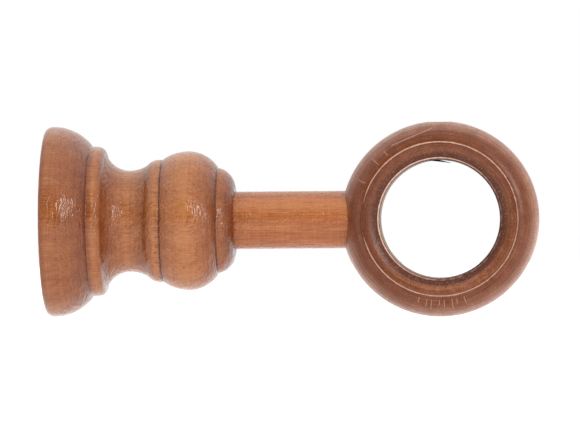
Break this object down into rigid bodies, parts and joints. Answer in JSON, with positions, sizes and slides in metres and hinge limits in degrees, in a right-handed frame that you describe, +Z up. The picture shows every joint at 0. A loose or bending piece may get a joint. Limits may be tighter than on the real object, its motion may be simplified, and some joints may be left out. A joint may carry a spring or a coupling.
{
  "type": "curtain pole bracket",
  "caption": "Turned wooden curtain pole bracket: a bell-and-ball wall rosette, a plain dowel stem and an open ring that a pole slides through.",
  "frame": {"origin": "middle of the wall plate's back face, on the wall", "axes": "+X out of the wall along the stem, +Y along the pole, +Z up"},
  "size_m": [0.1239, 0.048, 0.0496],
  "materials": {
    "rosette_wood": "red-brown stained hardwood, satin lacquer, grain along the stem",
    "stem_wood": "orange-brown stained dowel, satin lacquer, grain along the stem",
    "ring_wood": "darker brown stained hardwood, satin lacquer, pale rubbed edges",
    "plate_steel": "zinc-plated pressed steel",
    "bolt_steel": "yellow-zinc-plated steel"
  },
  "bodies": {
    "wall_plate": {"wall_plate": "plate_steel", "threaded_hub": "bolt_steel"},
    "rosette": {"rosette": "rosette_wood"},
    "arm": {"stem": "stem_wood", "pole_ring": "ring_wood", "hanger_bolt": "bolt_steel"}
  },
  "joints": [
    {"name": "rosette_slide", "type": "slide", "parent": "wall_plate", "child": "rosette", "axis": [1, 0, 0], "range_m": [0, 0.00726]},
    {"name": "arm_turn", "type": "hinge", "parent": "rosette", "child": "arm", "pos_m": [0, 0, 0], "axis": [1, 0, 0], "range_deg": [0, 2610]}
  ],
  "couplings": [
    {"joint": "rosette_slide", "follows": "arm_turn", "m_per_rad": 0.00015915}
  ]
}
